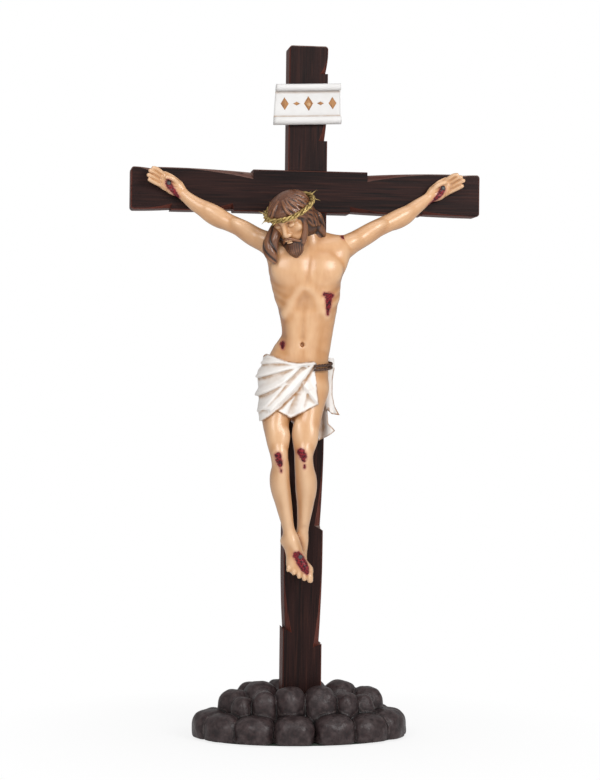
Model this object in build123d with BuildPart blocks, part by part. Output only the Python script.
from build123d import *
from math import atan2, cos, degrees, pi, radians, sin
import os

# Cross timbers
POST_TOP = 600.0
POST_WIDTH = 34.0
TIMBER_DEPTH = 23.0
BEAM_LENGTH = 305.0
BEAM_HEIGHT = 36.5
BEAM_CENTRE = 473.5
ARRIS_CUT = 0.9
END_ROUND = 2.8
LAP_CLEARANCE = 0.1

# Knife-cut hollows along the front edges
HOLLOW_SIDE_DEPTH = 2.2
HOLLOW_ARRIS_DEPTH = 5.4
HOLLOW_SAG_SHARE = 0.3

# Rock base
BASE_WIDTH = 189.0
BASE_DEPTH = 118.0
OUTER_STONES = 14
OUTER_STONE_LENGTH = 34.0
OUTER_STONE_WIDTH = 31.0
OUTER_STONE_HEIGHT = 24.0
INNER_STONE_WIDTH = 26.0
INNER_STONE_HEIGHT = 41.0
STONE_SIDES = 8
CORE_HEIGHT = 17.0
CORE_STEP = 31.0
FELT_THICKNESS = 1.5
FELT_INSET = 9.0
MORTISE_FLOOR = 13.0
MORTISE_CLEARANCE = 0.2

# Fasteners
LAP_SCREW_DIAMETER = 3.5
LAP_SCREW_HEAD = 7.0
LAP_SCREW_LENGTH = 18.0
LAP_SCREW_X = 8.0
LAP_SCREW_RISE = 9.0
SCREW_TIP_SHARE = 0.2
BASE_SCREW_DIAMETER = 4.8
BASE_SCREW_HEAD = 9.0
BASE_SCREW_HEAD_HEIGHT = 3.0
BASE_SCREW_LENGTH = 48.0
WASHER_DIAMETER = 13.0
WASHER_THICKNESS = 1.0
DOWEL_DIAMETER = 4.0
DOWEL_LENGTH = 14.0
PEG_DIAMETER = 3.0
PEG_IN_BOARD = 2.4
PEG_IN_POST = 8.0
NAIL_DIAMETER = 2.0
NAIL_HEAD = 4.0
NAIL_HEAD_HEIGHT = 1.6
NAIL_BITE = 12.0
SHAFT_SIDES = 12
FIT_CLEARANCE = 0.1

# Board at the top of the post
BOARD_WIDTH = 59.0
BOARD_HEIGHT = 36.0
BOARD_THICKNESS = 4.2
BOARD_CENTRE = 548.8
BOARD_TILT = 2.4
TOP_ROLL = 7.4
BOTTOM_ROLL = 8.6

# Figure: places and girths below are shares of the module, about one head with its hair
MODULE = 50.0
CURVE_NEAR_SHARE = 0.5625
CURVE_FAR_SHARE = 0.0625
BODY_SIDES = 12
DIGIT_SIDES = 8
FOLD_SIDES = 6
CORD_SIDES = 6
CUT_OVERRUN = 6.0

# Worked-out places
FRONT = -TIMBER_DEPTH / 2
BEAM_TOP = BEAM_CENTRE + BEAM_HEIGHT / 2
FIGURE_ORIGIN = Vector(0, FRONT, BEAM_CENTRE)
ALONG_X = Vector(1, 0, 0)
ALONG_Y = Vector(0, 1, 0)
UP = Vector(0, 0, 1)


def at(x_share, y_share, z_share):
    """Place on the figure, in shares of the module from the beam's front centre."""
    return FIGURE_ORIGIN + Vector(x_share, y_share, z_share) * MODULE


def oval_corners(half_length, half_width, sides):
    """Corners of a many-sided oval."""
    turns = [2 * pi * corner / sides for corner in range(sides)]
    return [(half_length * cos(turn), half_width * sin(turn)) for turn in turns]


def oval(plane, half_length, half_width, sides):
    """Ring of corners of a many-sided oval on a plane."""
    corners = oval_corners(half_length, half_width, sides)
    return [plane.from_local_coords((x, y, 0)) for x, y in corners]


def facet(*corners):
    """Flat face through three or more corners."""
    return Face(Wire.make_polygon(corners))


def skin(rings):
    """Loft of flat facets through rings of as many corners each, closed by its first and last ring."""
    facets = [facet(*rings[0][::-1]), facet(*rings[-1])]
    for lower, upper in zip(rings, rings[1:]):
        for side, corner in enumerate(lower):
            beside = (side + 1) % len(lower)
            facets.append(facet(corner, lower[beside], upper[side]))
            facets.append(facet(lower[beside], upper[beside], upper[side]))
    return Solid(Shell(facets))


def smooth_run(stations):
    """Stations with one more between each pair, on a smooth curve through the four around it."""
    last = len(stations) - 1
    run = [stations[0]]
    for index in range(last):
        outer = zip(stations[max(index - 1, 0)], stations[min(index + 2, last)])
        inner = zip(stations[index], stations[index + 1])
        between = []
        for (before, after), (left, right) in zip(outer, inner):
            between.append((left + right) * CURVE_NEAR_SHARE - (before + after) * CURVE_FAR_SHARE)
        run.append(tuple(between))
        run.append(stations[index + 1])
    return run


def limb_sections(stations, across, sides):
    """Oval sections square to a run of stations: place, half width and half depth, all in shares."""
    places = [at(*station[:3]) for station in stations]
    sections = []
    for index, station in enumerate(stations):
        before = places[max(index - 1, 0)]
        after = places[min(index + 1, len(places) - 1)]
        plane = Plane(origin=places[index], x_dir=across, z_dir=after - before)
        sections.append(oval(plane, station[3] * MODULE, station[4] * MODULE, sides))
    return sections


def limb(stations, across, sides):
    """Loft along a run of stations, to be added to a piece or cut from it."""
    return skin(limb_sections(smooth_run(stations), across, sides))


def rod(start, end, diameter, mode=Mode.ADD):
    """Straight round rod, or hole, between two points."""
    plane = Plane(origin=start, z_dir=end - start)
    with BuildSketch(plane) as section:
        Circle(diameter / 2)
    extrude(section.sketch, amount=(end - start).length, mode=mode)


def shaft(plane, profile):
    """Turned nail or screw of flat facets, from the height and radius of each ring."""
    return skin([oval(plane.offset(height), radius, radius, SHAFT_SIDES) for height, radius in profile])


def hollow(corner, along, inward, start, step, depth, slant):
    """Hollow cut along an edge: it deepens from its start and ends in an abrupt step."""
    plane = Plane(origin=corner, x_dir=along, z_dir=along.cross(inward))
    deep_end = step + slant * depth
    middle = (start + deep_end) / 2
    with BuildSketch(plane) as cut:
        with BuildLine():
            ThreePointArc((start, 0), (middle, depth * HOLLOW_SAG_SHARE), (deep_end, depth))
            Polyline((deep_end, depth), (step, 0), (step, -CUT_OVERRUN), (start, -CUT_OVERRUN), (start, 0))
        make_face()
    extrude(cut.sketch, amount=TIMBER_DEPTH + CUT_OVERRUN, both=True, mode=Mode.SUBTRACT)


def edge_hollows(corner, along, side_inward, span, shares):
    """Cut each hollow of one front edge into its side face and across its front arris."""
    arris_inward = (side_inward + ALONG_Y).normalized()
    for start_share, step_share, depth_share, slant_share in shares:
        start = start_share * span
        step = step_share * span
        side_depth = depth_share * HOLLOW_SIDE_DEPTH
        arris_depth = depth_share * HOLLOW_ARRIS_DEPTH
        hollow(corner, along, side_inward, start, step, side_depth, slant_share)
        hollow(corner, along, arris_inward, start, step, arris_depth, slant_share)


# Hollows of each edge: start, step, depth and slant of the step
POST_RIGHT_SHARES = (
    (0.992, 0.960, 0.9, 0.0),
    (0.925, 0.863, 1.0, 0.0),
    (0.445, 0.300, 1.0, 0.8),
    (0.282, 0.137, 1.0, -0.6),
)
POST_LEFT_SHARES = ((0.256, 0.160, 1.0, -0.8),)
BEAM_TOP_SHARES = (
    (-1.0, -0.859, 0.8, 0.0),
    (-0.807, -0.309, 1.1, 0.0),
    (0.825, 0.345, 1.1, 0.0),
    (1.0, 0.848, 0.6, 0.0),
)
BEAM_BOTTOM_SHARES = (
    (-1.0, -0.776, 0.7, 0.3),
    (-0.691, -0.416, 0.9, -0.3),
    (0.637, 0.246, 0.8, 0.0),
    (1.0, 0.667, 0.5, 0.0),
)

# Upright: rounded post with the front half notched for the beam
LAP_SCREW_SPOTS = ((-LAP_SCREW_X, LAP_SCREW_RISE), (LAP_SCREW_X, -LAP_SCREW_RISE))
BACK_FACE = Plane(origin=(0, TIMBER_DEPTH / 2, BEAM_CENTRE), x_dir=(-1, 0, 0), z_dir=(0, 1, 0))
WASHER_SEAT = FELT_THICKNESS + BASE_SCREW_HEAD_HEIGHT + WASHER_THICKNESS + FIT_CLEARANCE
BASE_SCREW_TIP = WASHER_SEAT - WASHER_THICKNESS + BASE_SCREW_LENGTH
BOARD_ACROSS = Vector(cos(radians(BOARD_TILT)), 0, sin(radians(BOARD_TILT)))
BOARD_PLANE = Plane(origin=(0, FRONT, BOARD_CENTRE), x_dir=BOARD_ACROSS, z_dir=(0, -1, 0))
PEG_START = BOARD_PLANE.from_local_coords((0, 0, PEG_IN_BOARD))
PEG_END = BOARD_PLANE.from_local_coords((0, 0, -PEG_IN_POST))

# Nail places, and the nails' bite into the timber
RIGHT_PALM_SHARES = (-2.412, -0.145, 0.078)
LEFT_PALM_SHARES = (2.366, -0.145, 0.108)
INSTEP_SHARES = (-0.13, -0.53, -6.28)


def nail_line(seat_shares):
    """Points where a nail's head seats and where its tip ends in the timber."""
    seat = at(*seat_shares)
    tip = Vector(seat.X, FRONT + NAIL_BITE, seat.Z)
    return seat, tip


HAND_NAIL_LINES = (nail_line(RIGHT_PALM_SHARES), nail_line(LEFT_PALM_SHARES))
FOOT_NAIL_LINE = nail_line(INSTEP_SHARES)
NAIL_HOLE = NAIL_DIAMETER + 2 * FIT_CLEARANCE

with BuildPart() as upright:
    post_length = POST_TOP - MORTISE_FLOOR
    with BuildSketch(Plane.XY.offset(MORTISE_FLOOR)):
        Rectangle(POST_WIDTH, TIMBER_DEPTH)
    extrude(amount=post_length)
    fillet(upright.edges().filter_by(Axis.Y).group_by(Axis.Z)[-1], radius=END_ROUND)
    front_and_back = upright.faces().filter_by(Axis.Y)
    chamfer(front_and_back.edges().filter_by(Axis.X, reverse=True), length=ARRIS_CUT)
    right_corner = Vector(POST_WIDTH / 2, FRONT, 0)
    left_corner = Vector(-POST_WIDTH / 2, FRONT, 0)
    edge_hollows(right_corner, UP, -ALONG_X, POST_TOP, POST_RIGHT_SHARES)
    edge_hollows(left_corner, UP, ALONG_X, POST_TOP, POST_LEFT_SHARES)
    with BuildSketch(Plane.XZ.offset(-FRONT)):
        with Locations((0, BEAM_CENTRE)):
            Rectangle(POST_WIDTH + CUT_OVERRUN, BEAM_HEIGHT + 2 * LAP_CLEARANCE)
    extrude(amount=FRONT, mode=Mode.SUBTRACT)
    with Locations(BACK_FACE):
        with Locations(*LAP_SCREW_SPOTS):
            CounterSinkHole(
                LAP_SCREW_DIAMETER / 2 + FIT_CLEARANCE,
                LAP_SCREW_HEAD / 2 + FIT_CLEARANCE,
                depth=TIMBER_DEPTH / 2,
                counter_sink_angle=90,
            )
    rod(Vector(0, 0, MORTISE_FLOOR), Vector(0, 0, BASE_SCREW_TIP), BASE_SCREW_DIAMETER, Mode.SUBTRACT)
    rod(BOARD_PLANE.origin, PEG_END, PEG_DIAMETER, Mode.SUBTRACT)
    rod(FOOT_NAIL_LINE[0], FOOT_NAIL_LINE[1], NAIL_HOLE, Mode.SUBTRACT)
upright.part.label = "upright"

# Crossbeam: like timber, its back half notched to pass the post
with BuildPart() as crossbeam:
    with BuildSketch(Plane.XZ.offset(-FRONT)):
        with Locations((0, BEAM_CENTRE)):
            Rectangle(BEAM_LENGTH, BEAM_HEIGHT)
    extrude(amount=-TIMBER_DEPTH)
    fillet(crossbeam.edges().filter_by(Axis.Y), radius=END_ROUND)
    chamfer(crossbeam.faces().filter_by(Axis.Y).edges(), length=ARRIS_CUT)
    top_corner = Vector(0, FRONT, BEAM_TOP)
    bottom_corner = Vector(0, FRONT, BEAM_TOP - BEAM_HEIGHT)
    edge_hollows(top_corner, ALONG_X, -UP, BEAM_LENGTH / 2, BEAM_TOP_SHARES)
    edge_hollows(bottom_corner, ALONG_X, UP, BEAM_LENGTH / 2, BEAM_BOTTOM_SHARES)
    with BuildSketch(Plane.XZ):
        with Locations((0, BEAM_CENTRE)):
            Rectangle(POST_WIDTH + 2 * LAP_CLEARANCE, BEAM_HEIGHT + CUT_OVERRUN)
    extrude(amount=-TIMBER_DEPTH, mode=Mode.SUBTRACT)
    for screw_x, screw_rise in LAP_SCREW_SPOTS:
        pilot = Vector(-screw_x, 0, BEAM_CENTRE + screw_rise)
        bite = ALONG_Y * (LAP_SCREW_LENGTH - TIMBER_DEPTH / 2)
        rod(pilot, pilot - bite, LAP_SCREW_DIAMETER, Mode.SUBTRACT)
    for seat, tip in HAND_NAIL_LINES:
        rod(seat, tip, NAIL_HOLE, Mode.SUBTRACT)
crossbeam.part.label = "crossbeam"

# Two countersunk screws that draw the lap together from behind
with BuildPart() as lap_screws:
    for screw_x, screw_rise in LAP_SCREW_SPOTS:
        screw_plane = Plane(origin=(-screw_x, TIMBER_DEPTH / 2, BEAM_CENTRE + screw_rise), z_dir=-ALONG_Y)
        shank_radius = LAP_SCREW_DIAMETER / 2
        profile = [
            (0, LAP_SCREW_HEAD / 2),
            (LAP_SCREW_HEAD / 2 - shank_radius, shank_radius),
            (LAP_SCREW_LENGTH - shank_radius, shank_radius),
            (LAP_SCREW_LENGTH, shank_radius * SCREW_TIP_SHARE),
        ]
        add(shaft(screw_plane, profile))
lap_screws.part.label = "lap_screws"

# Rock base: an oval core, a ring of outer stones and an uneven inner tier
STONE_LEVEL_SHARES = ((0.0, 0.90), (0.42, 1.0), (0.82, 0.74), (1.0, 0.30))
OUTER_HEIGHT_SHARES = (1.04, 1.06, 1.0, 1.06, 1.0, 1.08, 0.98, 1.05, 1.0, 1.07, 0.96, 1.03, 0.99, 1.0)
FIRST_STONE_ANGLE = -98.0
INNER_STONE_SHARES = (
    (-0.55, -0.33, 0.72, 1.0),
    (-0.365, -0.45, 0.76, 1.10),
    (-0.13, -0.46, 1.0, 1.20),
    (0.145, -0.46, 1.0, 1.24),
    (0.385, -0.43, 0.76, 1.05),
    (0.56, -0.31, 0.68, 1.0),
    (-0.60, 0.06, 0.95, 1.14),
    (-0.36, 0.10, 1.05, 1.32),
    (0.38, 0.10, 1.05, 1.34),
    (0.63, 0.06, 0.98, 1.20),
    (-0.42, 0.44, 0.95, 1.15),
    (-0.14, 0.46, 1.0, 1.24),
    (0.15, 0.46, 1.0, 1.22),
    (0.43, 0.44, 0.95, 1.14),
)


def stone(centre_x, centre_y, turn, length, width, height):
    """Worn stone: rings that swell, then close in to a small flat crown."""
    rings = []
    for height_share, girth_share in STONE_LEVEL_SHARES:
        level = FELT_THICKNESS + height_share * (height - FELT_THICKNESS)
        plane = Plane(origin=(centre_x, centre_y, level)).rotated((0, 0, turn))
        rings.append(oval(plane, girth_share * length / 2, girth_share * width / 2, STONE_SIDES))
    return skin(rings)


ring_x = BASE_WIDTH / 2 - OUTER_STONE_WIDTH / 2
ring_y = BASE_DEPTH / 2 - OUTER_STONE_WIDTH / 2
SCREW_POCKET = WASHER_DIAMETER + 2 * FIT_CLEARANCE
SCREW_HOLE = BASE_SCREW_DIAMETER + 2 * FIT_CLEARANCE
with BuildPart() as rock_base:
    with BuildSketch(Plane.XY.offset(FELT_THICKNESS)):
        Ellipse(ring_x, ring_y)
    extrude(amount=CORE_HEIGHT - FELT_THICKNESS)
    with BuildSketch(Plane.XY.offset(FELT_THICKNESS)):
        Ellipse(ring_x - OUTER_STONE_WIDTH / 2, ring_y - OUTER_STONE_WIDTH / 2)
    extrude(amount=CORE_STEP - FELT_THICKNESS)
    stones = []
    for number in range(OUTER_STONES):
        angle = radians(FIRST_STONE_ANGLE) + 2 * pi * number / OUTER_STONES
        turn = degrees(atan2(ring_y * cos(angle), -ring_x * sin(angle)))
        height = OUTER_STONE_HEIGHT * OUTER_HEIGHT_SHARES[number % len(OUTER_HEIGHT_SHARES)]
        place = (ring_x * cos(angle), ring_y * sin(angle))
        stones.append(stone(*place, turn, OUTER_STONE_LENGTH, OUTER_STONE_WIDTH, height))
    for x_share, y_share, width_share, height_share in INNER_STONE_SHARES:
        width = INNER_STONE_WIDTH * width_share
        height = INNER_STONE_HEIGHT * height_share
        place = (x_share * BASE_WIDTH / 2, y_share * BASE_DEPTH / 2)
        stones.append(stone(*place, 0, width, width, height))
    add(stones)
    with BuildSketch(Plane.XY.offset(MORTISE_FLOOR)):
        Rectangle(POST_WIDTH + 2 * MORTISE_CLEARANCE, TIMBER_DEPTH + 2 * MORTISE_CLEARANCE)
    extrude(amount=POST_TOP, mode=Mode.SUBTRACT)
    rod(Vector(0, 0, FELT_THICKNESS), Vector(0, 0, WASHER_SEAT), SCREW_POCKET, Mode.SUBTRACT)
    rod(Vector(0, 0, FELT_THICKNESS), Vector(0, 0, MORTISE_FLOOR), SCREW_HOLE, Mode.SUBTRACT)
rock_base.part.label = "rock_base"

# Screw and washer from beneath, and the felt that covers them
with BuildPart() as base_washer:
    with BuildSketch(Plane.XY.offset(WASHER_SEAT - WASHER_THICKNESS)):
        Circle(WASHER_DIAMETER / 2)
        Circle(SCREW_HOLE / 2, mode=Mode.SUBTRACT)
    extrude(amount=WASHER_THICKNESS)
base_washer.part.label = "base_washer"

with BuildPart() as base_screw:
    head_top = WASHER_SEAT - WASHER_THICKNESS
    shank_radius = BASE_SCREW_DIAMETER / 2
    profile = [
        (head_top - BASE_SCREW_HEAD_HEIGHT, BASE_SCREW_HEAD / 2),
        (head_top, BASE_SCREW_HEAD / 2),
        (head_top, shank_radius),
        (BASE_SCREW_TIP - BASE_SCREW_DIAMETER, shank_radius),
        (BASE_SCREW_TIP, shank_radius * SCREW_TIP_SHARE),
    ]
    add(shaft(Plane.XY, profile))
base_screw.part.label = "base_screw"

with BuildPart() as felt_pad:
    with BuildSketch():
        Ellipse(BASE_WIDTH / 2 - FELT_INSET, BASE_DEPTH / 2 - FELT_INSET)
    extrude(amount=FELT_THICKNESS)
felt_pad.part.label = "felt_pad"

# Board: a flat field between two rolled edges, a little wider at the bottom left
BOARD_OUTLINE_SHARES = ((-0.475, 0.5), (0.478, 0.5), (0.465, -0.5), (-0.535, -0.5))
with BuildPart() as titulus:
    side_plane = Plane(origin=BOARD_PLANE.origin, x_dir=-ALONG_Y, z_dir=-BOARD_ACROSS)
    with BuildSketch(side_plane) as board_profile:
        with Locations((BOARD_THICKNESS / 2, 0)):
            Rectangle(BOARD_THICKNESS, BOARD_HEIGHT - TOP_ROLL)
        with Locations((TOP_ROLL / 2, (BOARD_HEIGHT - TOP_ROLL) / 2)):
            Circle(TOP_ROLL / 2)
        with Locations((BOTTOM_ROLL / 2, (BOTTOM_ROLL - BOARD_HEIGHT) / 2)):
            Circle(BOTTOM_ROLL / 2)
    extrude(board_profile.sketch, amount=BOARD_WIDTH, both=True)
    outline = [(x_share * BOARD_WIDTH, z_share * BOARD_HEIGHT) for x_share, z_share in BOARD_OUTLINE_SHARES]
    with BuildSketch(BOARD_PLANE) as board_outline:
        Polygon(*outline, align=None)
    extrude(board_outline.sketch, amount=BOARD_WIDTH, both=True, mode=Mode.INTERSECT)
    rod(BOARD_PLANE.origin, PEG_START, PEG_DIAMETER, Mode.SUBTRACT)
titulus.part.label = "titulus"

with BuildPart() as titulus_peg:
    rod(PEG_START, PEG_END, PEG_DIAMETER)
titulus_peg.part.label = "titulus_peg"

# Figure stations: place, half width and half depth
TORSO_SHARES = (
    (-0.22, -0.43, -3.66, 0.40, 0.32),
    (-0.22, -0.42, -3.31, 0.54, 0.37),
    (-0.18, -0.42, -2.97, 0.52, 0.35),
    (-0.05, -0.45, -2.55, 0.43, 0.30),
    (-0.05, -0.51, -1.91, 0.53, 0.37),
    (-0.10, -0.53, -1.43, 0.60, 0.38),
    (-0.06, -0.51, -1.07, 0.60, 0.29),
    (-0.04, -0.50, -0.87, 0.42, 0.21),
)
NECK_RUN_SHARES = (
    (-0.04, -0.50, -1.07, 0.26, 0.22),
    (-0.08, -0.54, -0.85, 0.19, 0.19),
    (-0.14, -0.62, -0.70, 0.17, 0.17),
    (-0.24, -0.76, -0.52, 0.17, 0.18),
)
RIGHT_ARM_RUN_SHARES = (
    (-0.26, -0.51, -1.22, 0.33, 0.30),
    (-0.50, -0.50, -1.04, 0.25, 0.25),
    (-0.70, -0.48, -0.96, 0.20, 0.205),
    (-0.94, -0.43, -0.84, 0.172, 0.18),
    (-1.20, -0.36, -0.68, 0.152, 0.165),
    (-1.46, -0.30, -0.56, 0.16, 0.15),
    (-1.70, -0.25, -0.42, 0.165, 0.135),
    (-1.95, -0.18, -0.28, 0.132, 0.105),
    (-2.15, -0.12, -0.12, 0.105, 0.08),
    (-2.27, -0.085, 0.01, 0.145, 0.072),
    (-2.42, -0.075, 0.095, 0.175, 0.066),
    (-2.53, -0.075, 0.15, 0.16, 0.06),
)
LEFT_ARM_RUN_SHARES = (
    (0.18, -0.51, -1.24, 0.33, 0.30),
    (0.40, -0.50, -1.06, 0.25, 0.25),
    (0.60, -0.48, -0.97, 0.20, 0.205),
    (0.86, -0.43, -0.82, 0.172, 0.18),
    (1.15, -0.36, -0.645, 0.16, 0.165),
    (1.45, -0.30, -0.50, 0.16, 0.15),
    (1.68, -0.25, -0.385, 0.15, 0.135),
    (1.92, -0.18, -0.21, 0.12, 0.10),
    (2.10, -0.12, -0.08, 0.10, 0.078),
    (2.22, -0.085, 0.015, 0.145, 0.072),
    (2.37, -0.075, 0.115, 0.175, 0.066),
    (2.48, -0.075, 0.175, 0.16, 0.06),
)
RIGHT_LEG_SHARES = (
    (-0.44, -0.43, -3.30, 0.30, 0.31),
    (-0.58, -0.55, -3.83, 0.245, 0.27),
    (-0.57, -0.67, -4.23, 0.195, 0.22),
    (-0.54, -0.75, -4.55, 0.152, 0.172),
    (-0.51, -0.70, -4.75, 0.16, 0.18),
    (-0.48, -0.60, -5.03, 0.188, 0.205),
    (-0.40, -0.50, -5.41, 0.155, 0.165),
    (-0.33, -0.45, -5.79, 0.112, 0.124),
    (-0.29, -0.43, -6.00, 0.145, 0.145),
    (-0.22, -0.41, -6.20, 0.17, 0.13),
    (-0.15, -0.42, -6.38, 0.18, 0.11),
    (-0.08, -0.44, -6.52, 0.16, 0.08),
)
LEFT_LEG_SHARES = (
    (0.04, -0.45, -3.42, 0.30, 0.30),
    (-0.03, -0.55, -3.83, 0.25, 0.27),
    (-0.08, -0.67, -4.23, 0.21, 0.22),
    (-0.12, -0.74, -4.53, 0.164, 0.172),
    (-0.10, -0.68, -4.75, 0.172, 0.18),
    (-0.06, -0.56, -5.03, 0.196, 0.205),
    (-0.05, -0.42, -5.41, 0.156, 0.164),
    (-0.06, -0.31, -5.79, 0.112, 0.12),
    (-0.07, -0.24, -6.03, 0.13, 0.125),
    (-0.10, -0.15, -6.27, 0.15, 0.115),
    (-0.08, -0.11, -6.45, 0.15, 0.09),
    (-0.03, -0.085, -6.60, 0.13, 0.068),
)
SEAT_STATION = 2

# Fingers and toes: offset across the end of the limb, reach of the tip beyond it, and girth
TOE_SHARES = (
    (-0.17, -0.04, 0.040),
    (-0.105, 0.06, 0.042),
    (-0.04, 0.14, 0.044),
    (0.03, 0.22, 0.046),
    (0.11, 0.30, 0.058),
)
FINGER_SHARES = (
    (-0.115, 0.23, 0.044),
    (-0.037, 0.27, 0.046),
    (0.043, 0.275, 0.046),
    (0.12, 0.235, 0.044),
)
TOE_LENGTH_SHARE = 0.24
FINGER_LENGTH_SHARE = 0.38
DIGIT_TIP_SHARE = 0.62


def seated_run(stations, across):
    """Two lofts along one run that meet face to face at its seat station."""
    sections = limb_sections(smooth_run(stations), across, BODY_SIDES)
    seat = 2 * SEAT_STATION
    return skin(sections[:seat + 1]), skin(sections[seat:])


def digit(root, tip, girth):
    """Tapered finger or toe with a blunt end."""
    plane = Plane(origin=root, z_dir=tip - root)
    length = (tip - root).length
    sections = [
        oval(plane, girth, girth, DIGIT_SIDES),
        oval(plane.offset(length - girth), girth, girth, DIGIT_SIDES),
        oval(plane.offset(length), girth * DIGIT_TIP_SHARE, girth * DIGIT_TIP_SHARE, DIGIT_SIDES),
    ]
    return skin(sections)


def digits(stations, facing, shares, length_share):
    """Row of fingers or toes that carry on from the last two stations of a limb."""
    last = at(*stations[-1][:3])
    heading = (last - at(*stations[-2][:3])).normalized()
    spread = heading.cross(facing).normalized()
    row = []
    for offset_share, reach_share, girth_share in shares:
        tip = last + spread * (offset_share * MODULE) + heading * (reach_share * MODULE)
        root = tip - heading * (length_share * MODULE)
        row.append(digit(root, tip, girth_share * MODULE))
    return row


def dowel_line(stations):
    """Ends of a dowel centred on the seat of a run."""
    seat = at(*stations[SEAT_STATION][:3])
    before = at(*stations[SEAT_STATION - 1][:3])
    after = at(*stations[SEAT_STATION + 1][:3])
    half = (after - before).normalized() * (DOWEL_LENGTH / 2)
    return seat - half, seat + half


torso_form = limb(TORSO_SHARES, ALONG_X, BODY_SIDES)
right_leg_form = limb(RIGHT_LEG_SHARES, ALONG_X, BODY_SIDES)
left_leg_form = limb(LEFT_LEG_SHARES, ALONG_X, BODY_SIDES)
neck_form, nape_form = seated_run(NECK_RUN_SHARES, ALONG_X)
right_shoulder_form, right_arm_form = seated_run(RIGHT_ARM_RUN_SHARES, UP)
left_shoulder_form, left_arm_form = seated_run(LEFT_ARM_RUN_SHARES, UP)
TRUNK_FORMS = [torso_form, neck_form, right_shoulder_form, left_shoulder_form]
LEG_FORMS = [right_leg_form, left_leg_form]
RIGHT_DOWEL_LINE = dowel_line(RIGHT_ARM_RUN_SHARES)
LEFT_DOWEL_LINE = dowel_line(LEFT_ARM_RUN_SHARES)
NECK_DOWEL_LINE = dowel_line(NECK_RUN_SHARES)

# Torso and legs, one casting
with BuildPart() as corpus_body:
    add(TRUNK_FORMS + LEG_FORMS)
    add(digits(RIGHT_LEG_SHARES, ALONG_Y, TOE_SHARES, TOE_LENGTH_SHARE))
    for start, end in (RIGHT_DOWEL_LINE, LEFT_DOWEL_LINE, NECK_DOWEL_LINE):
        rod(start, end, DOWEL_DIAMETER, Mode.SUBTRACT)
    rod(FOOT_NAIL_LINE[0] - ALONG_Y * CUT_OVERRUN, FOOT_NAIL_LINE[1], NAIL_HOLE, Mode.SUBTRACT)
corpus_body.part.label = "corpus_body"

# Arms, cast apart and seated on the shoulders
with BuildPart() as right_arm:
    add([right_arm_form] + digits(RIGHT_ARM_RUN_SHARES, ALONG_Y, FINGER_SHARES, FINGER_LENGTH_SHARE))
    rod(*RIGHT_DOWEL_LINE, DOWEL_DIAMETER, Mode.SUBTRACT)
    rod(HAND_NAIL_LINES[0][0] - ALONG_Y * CUT_OVERRUN, HAND_NAIL_LINES[0][1], NAIL_HOLE, Mode.SUBTRACT)
right_arm.part.label = "right_arm"

with BuildPart() as left_arm:
    add([left_arm_form] + digits(LEFT_ARM_RUN_SHARES, -ALONG_Y, FINGER_SHARES, FINGER_LENGTH_SHARE))
    rod(*LEFT_DOWEL_LINE, DOWEL_DIAMETER, Mode.SUBTRACT)
    rod(HAND_NAIL_LINES[1][0] - ALONG_Y * CUT_OVERRUN, HAND_NAIL_LINES[1][1], NAIL_HOLE, Mode.SUBTRACT)
left_arm.part.label = "left_arm"

with BuildPart() as shoulder_dowels:
    rod(*RIGHT_DOWEL_LINE, DOWEL_DIAMETER)
    rod(*LEFT_DOWEL_LINE, DOWEL_DIAMETER)
shoulder_dowels.part.label = "shoulder_dowels"

with BuildPart() as neck_dowel:
    rod(*NECK_DOWEL_LINE, DOWEL_DIAMETER)
neck_dowel.part.label = "neck_dowel"

# Head: bowed and turned; stations along its own upright axis give height, set-back and half sizes
HEAD_PLACE_SHARES = (-0.40, -0.88, -0.55)
HEAD_TURN = (26.0, -24.0, -28.0)
HEAD_PLANE = Plane(Location(at(*HEAD_PLACE_SHARES), HEAD_TURN))
FACE_SHARES = (
    (-0.43, -0.19, 0.09, 0.07),
    (-0.32, -0.11, 0.19, 0.22),
    (-0.18, -0.05, 0.24, 0.30),
    (-0.02, 0.0, 0.28, 0.34),
    (0.12, 0.01, 0.295, 0.345),
    (0.28, 0.02, 0.27, 0.31),
    (0.40, 0.03, 0.17, 0.20),
)
HAIR_SHARES = (
    (-0.46, 0.24, 0.26, 0.17),
    (-0.30, 0.21, 0.36, 0.24),
    (-0.10, 0.16, 0.40, 0.32),
    (0.10, 0.09, 0.365, 0.385),
    (0.28, 0.06, 0.325, 0.385),
    (0.40, 0.05, 0.24, 0.28),
    (0.465, 0.04, 0.10, 0.12),
)
BEARD_SHARES = (
    (-0.22, -0.17, 0.19, 0.17),
    (-0.40, -0.22, 0.155, 0.14),
    (-0.54, -0.25, 0.10, 0.09),
    (-0.63, -0.26, 0.04, 0.035),
)
RIGHT_LOCK_SHARES = (
    (-0.60, -0.84, -0.70, 0.14, 0.16),
    (-0.74, -0.88, -0.95, 0.13, 0.14),
    (-0.73, -0.90, -1.16, 0.10, 0.10),
    (-0.66, -0.90, -1.30, 0.03, 0.03),
)
LEFT_LOCK_SHARES = (
    (0.0, -0.72, -0.50, 0.15, 0.17),
    (0.12, -0.66, -0.75, 0.13, 0.14),
    (0.18, -0.60, -0.98, 0.06, 0.07),
)


def head_form(stations):
    """Loft oval sections square to the head's own axis."""
    sections = []
    for rise_share, back_share, width_share, depth_share in smooth_run(stations):
        place = HEAD_PLANE.from_local_coords((0, back_share * MODULE, rise_share * MODULE))
        plane = Plane(origin=place, x_dir=HEAD_PLANE.x_dir, z_dir=HEAD_PLANE.z_dir)
        sections.append(oval(plane, width_share * MODULE, depth_share * MODULE, BODY_SIDES))
    return skin(sections)


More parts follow.
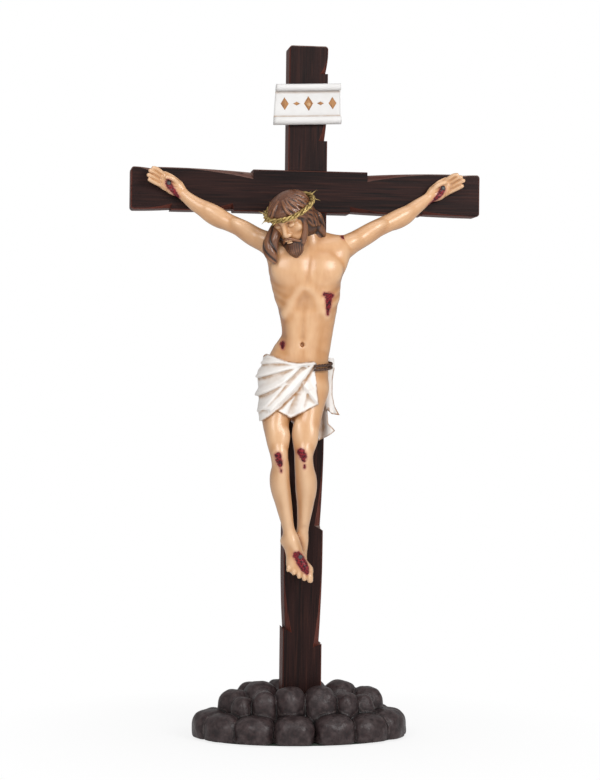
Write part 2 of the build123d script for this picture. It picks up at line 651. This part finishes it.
with BuildPart() as head:
    add([head_form(FACE_SHARES), head_form(HAIR_SHARES), head_form(BEARD_SHARES), nape_form])
    add([limb(shares, ALONG_X, DIGIT_SIDES) for shares in (RIGHT_LOCK_SHARES, LEFT_LOCK_SHARES)])
    add(TRUNK_FORMS + [right_arm_form, left_arm_form], mode=Mode.SUBTRACT)
    rod(*NECK_DOWEL_LINE, DOWEL_DIAMETER, Mode.SUBTRACT)
head.part.label = "head"

# Crown: three strands twisted round an oval ring, with thorns standing off it
CROWN_RISE_SHARE = 0.18
CROWN_BACK_SHARE = 0.075
CROWN_WIDTH_SHARE = 0.415
CROWN_DEPTH_SHARE = 0.458
CROWN_STRANDS = 3
CROWN_TWISTS = 5
CROWN_STEPS = 24
STRAND_SIDES = 4
STRAND_DIAMETER = 2.2
STRAND_PITCH_DIAMETER = 2.7
THORNS = 16
THORN_LENGTH = 6.0
THORN_WIDTH = 1.6
THORN_TIP = 0.3
THORN_SIDES = 3
THORN_LEAN_SHARES = (0.9, -0.7, 0.3, -0.2)


def crown_place(turn):
    """Point on the crown's centre line and its outward direction."""
    x = CROWN_WIDTH_SHARE * MODULE * cos(turn)
    y = (CROWN_BACK_SHARE + CROWN_DEPTH_SHARE * sin(turn)) * MODULE
    place = HEAD_PLANE.from_local_coords((x, y, CROWN_RISE_SHARE * MODULE))
    outward = HEAD_PLANE.x_dir * cos(turn) + HEAD_PLANE.y_dir * sin(turn)
    return place, outward


def strand(phase):
    """One strand, wound round the centre line and open where its ends tuck in behind."""
    places = []
    for step in range(CROWN_STEPS + 1):
        turn = pi / 2 + 2 * pi * (step + 1) / (CROWN_STEPS + 2)
        place, outward = crown_place(turn)
        wind = CROWN_TWISTS * turn + phase
        swing = outward * cos(wind) + HEAD_PLANE.z_dir * sin(wind)
        places.append(place + swing * (STRAND_PITCH_DIAMETER / 2))
    sections = []
    for step, place in enumerate(places):
        before = places[max(step - 1, 0)]
        after = places[min(step + 1, CROWN_STEPS)]
        plane = Plane(origin=place, x_dir=HEAD_PLANE.z_dir, z_dir=after - before)
        sections.append(oval(plane, STRAND_DIAMETER / 2, STRAND_DIAMETER / 2, STRAND_SIDES))
    return skin(sections)


def thorn(number):
    """Spike that leaves the band outwards, leaning up or down in turn."""
    place, outward = crown_place(2 * pi * (number + 1) / (THORNS + 1) + pi / 2)
    lean = THORN_LEAN_SHARES[number % len(THORN_LEAN_SHARES)]
    heading = outward + HEAD_PLANE.z_dir * lean
    plane = Plane(origin=place, x_dir=HEAD_PLANE.z_dir.cross(outward), z_dir=heading)
    root = oval(plane, THORN_WIDTH / 2, THORN_WIDTH / 2, THORN_SIDES)
    tip = oval(plane.offset(THORN_LENGTH), THORN_TIP / 2, THORN_TIP / 2, THORN_SIDES)
    return skin([root, tip])


with BuildPart() as crown_of_thorns:
    strands = [strand(2 * pi * number / CROWN_STRANDS) for number in range(CROWN_STRANDS)]
    add(strands + [thorn(number) for number in range(THORNS)])
crown_of_thorns.part.label = "crown_of_thorns"

# Loincloth: a wrap over the hips with ridged folds drawn from the left hip
WRAP_SHARES = (
    (-0.18, -0.42, -2.85, 0.55, 0.375),
    (-0.22, -0.43, -3.07, 0.60, 0.40),
    (-0.26, -0.47, -3.41, 0.645, 0.44),
    (-0.29, -0.52, -3.71, 0.62, 0.45),
    (-0.30, -0.55, -4.05, 0.55, 0.40),
)
FOLD_SHARES = (
    ((0.08, -0.78, -3.10), (-0.24, -0.86, -3.06), (-0.56, -0.76, -2.97), (-0.76, -0.50, -2.91)),
    ((0.08, -0.80, -3.13), (-0.24, -0.90, -3.20), (-0.60, -0.82, -3.21), (-0.85, -0.52, -3.22)),
    ((0.07, -0.82, -3.17), (-0.22, -0.93, -3.34), (-0.58, -0.88, -3.47), (-0.88, -0.56, -3.53)),
    ((0.06, -0.84, -3.22), (-0.16, -0.95, -3.46), (-0.45, -0.97, -3.71), (-0.78, -0.78, -3.95)),
    ((-0.14, -0.94, -3.46), (-0.25, -0.97, -3.72), (-0.33, -0.97, -3.96)),
    ((0.03, -0.86, -3.28), (0.04, -0.92, -3.50), (0.09, -0.90, -3.73)),
)
FOLD_GIRTH_SHARES = (0.035, 0.06, 0.065, 0.05)
WRAP_OUTLINE_SHARES = (
    (-1.0, -2.77),
    (-0.68, -2.89),
    (-0.44, -3.03),
    (0.06, -3.09),
    (0.16, -3.07),
    (0.13, -3.70),
    (-0.35, -3.94),
    (-0.58, -3.81),
    (-0.78, -4.01),
    (-1.0, -3.87),
)


def fold(places):
    """Ridge of cloth that swells from a pinched start and fades at its end."""
    stations = []
    for place, girth in zip(places, FOLD_GIRTH_SHARES):
        stations.append((*place, girth, girth))
    return limb(stations, UP, FOLD_SIDES)


def front_outline(shares):
    """Closed outline on the plane of the cross front, in shares of the module."""
    corners = [(x_share * MODULE, z_share * MODULE) for x_share, z_share in shares]
    with BuildSketch(Plane(origin=FIGURE_ORIGIN, x_dir=ALONG_X, z_dir=-ALONG_Y)) as outline:
        Polygon(*corners, align=None)
    return outline.sketch


with BuildPart() as loincloth:
    add([limb(WRAP_SHARES, ALONG_X, BODY_SIDES)] + [fold(places) for places in FOLD_SHARES])
    extrude(front_outline(WRAP_OUTLINE_SHARES), amount=2 * MODULE, mode=Mode.INTERSECT)
    add([torso_form] + LEG_FORMS, mode=Mode.SUBTRACT)
loincloth.part.label = "loincloth"

# Free end of the cloth: fluted in plan, ragged in outline, against the left hip
TAIL_PLAN_SHARES = ((0.16, -0.20), (0.29, -0.33), (0.36, -0.20), (0.46, -0.32), (0.64, -0.18))
TAIL_THICKNESS_SHARE = 0.07
TAIL_DROP_SHARE = 4.5
TAIL_OUTLINE_SHARES = (
    (0.26, -3.08),
    (0.44, -3.06),
    (0.43, -3.35),
    (0.47, -3.65),
    (0.60, -3.88),
    (0.52, -4.15),
    (0.30, -4.33),
    (0.21, -4.24),
    (0.22, -3.80),
    (0.24, -3.30),
)
with BuildPart() as loincloth_tail:
    front_edge = [(x_share, y_share - TAIL_THICKNESS_SHARE / 2) for x_share, y_share in TAIL_PLAN_SHARES]
    back_edge = [(x_share, y_share + TAIL_THICKNESS_SHARE / 2) for x_share, y_share in TAIL_PLAN_SHARES]
    plan = [(x_share * MODULE, y_share * MODULE) for x_share, y_share in front_edge + back_edge[::-1]]
    with BuildSketch(Plane(origin=FIGURE_ORIGIN)) as tail_plan:
        Polygon(*plan, align=None)
    extrude(tail_plan.sketch, amount=-TAIL_DROP_SHARE * MODULE)
    extrude(front_outline(TAIL_OUTLINE_SHARES), amount=2 * MODULE, mode=Mode.INTERSECT)
    add([torso_form, left_leg_form], mode=Mode.SUBTRACT)
loincloth_tail.part.label = "loincloth_tail"

# Double cord over the left hip, from the front edge of the wrap to its back edge
CORD_GIRTH_SHARE = 0.022
CORD_HALF_SWEEP = 46.0
CORD_STEPS = 6
CORD_CENTRE_SHARES = (-0.19, -0.425)
CORD_REACH_SHARES = (0.55, 0.38)
CORD_HEIGHT_SHARES = (-3.03, -2.97)
CORD_RISE_SHARE = 0.05


def hip_strand(height_share):
    """One cord round the hip, a little higher at the back than at the front."""
    stations = []
    for step in range(CORD_STEPS + 1):
        along = 2 * step / CORD_STEPS - 1
        turn = radians(CORD_HALF_SWEEP * along)
        x_share = CORD_CENTRE_SHARES[0] + CORD_REACH_SHARES[0] * cos(turn)
        y_share = CORD_CENTRE_SHARES[1] + CORD_REACH_SHARES[1] * sin(turn)
        rise_share = height_share + CORD_RISE_SHARE * along
        stations.append((x_share, y_share, rise_share, CORD_GIRTH_SHARE, CORD_GIRTH_SHARE))
    return limb(stations, UP, CORD_SIDES)


with BuildPart() as hip_cord:
    add([hip_strand(height_share) for height_share in CORD_HEIGHT_SHARES])
hip_cord.part.label = "hip_cord"

# Nails: round domed heads on plain shanks
def nail(seat, tip):
    """Nail with a two-step domed head, driven along its line."""
    plane = Plane(origin=seat, z_dir=seat - tip)
    shank_radius = NAIL_DIAMETER / 2
    profile = [
        (-(seat - tip).length, shank_radius),
        (0, shank_radius),
        (0, NAIL_HEAD / 2),
        (NAIL_HEAD_HEIGHT / 2, NAIL_HEAD / 2),
        (NAIL_HEAD_HEIGHT, shank_radius),
    ]
    add(shaft(plane, profile))


with BuildPart() as hand_nails:
    for seat, tip in HAND_NAIL_LINES:
        nail(seat, tip)
hand_nails.part.label = "hand_nails"

with BuildPart() as foot_nail:
    nail(*FOOT_NAIL_LINE)
foot_nail.part.label = "foot_nail"

PIECES = (
    upright, crossbeam, lap_screws, rock_base, base_screw, base_washer, felt_pad, titulus, titulus_peg,
    corpus_body, right_arm, left_arm, shoulder_dowels, head, neck_dowel, crown_of_thorns, loincloth,
    loincloth_tail, hip_cord, hand_nails, foot_nail,
)
os.makedirs("parts", exist_ok=True)
for piece in PIECES:
    export_step(piece.part, f"parts/{piece.part.label}.step")
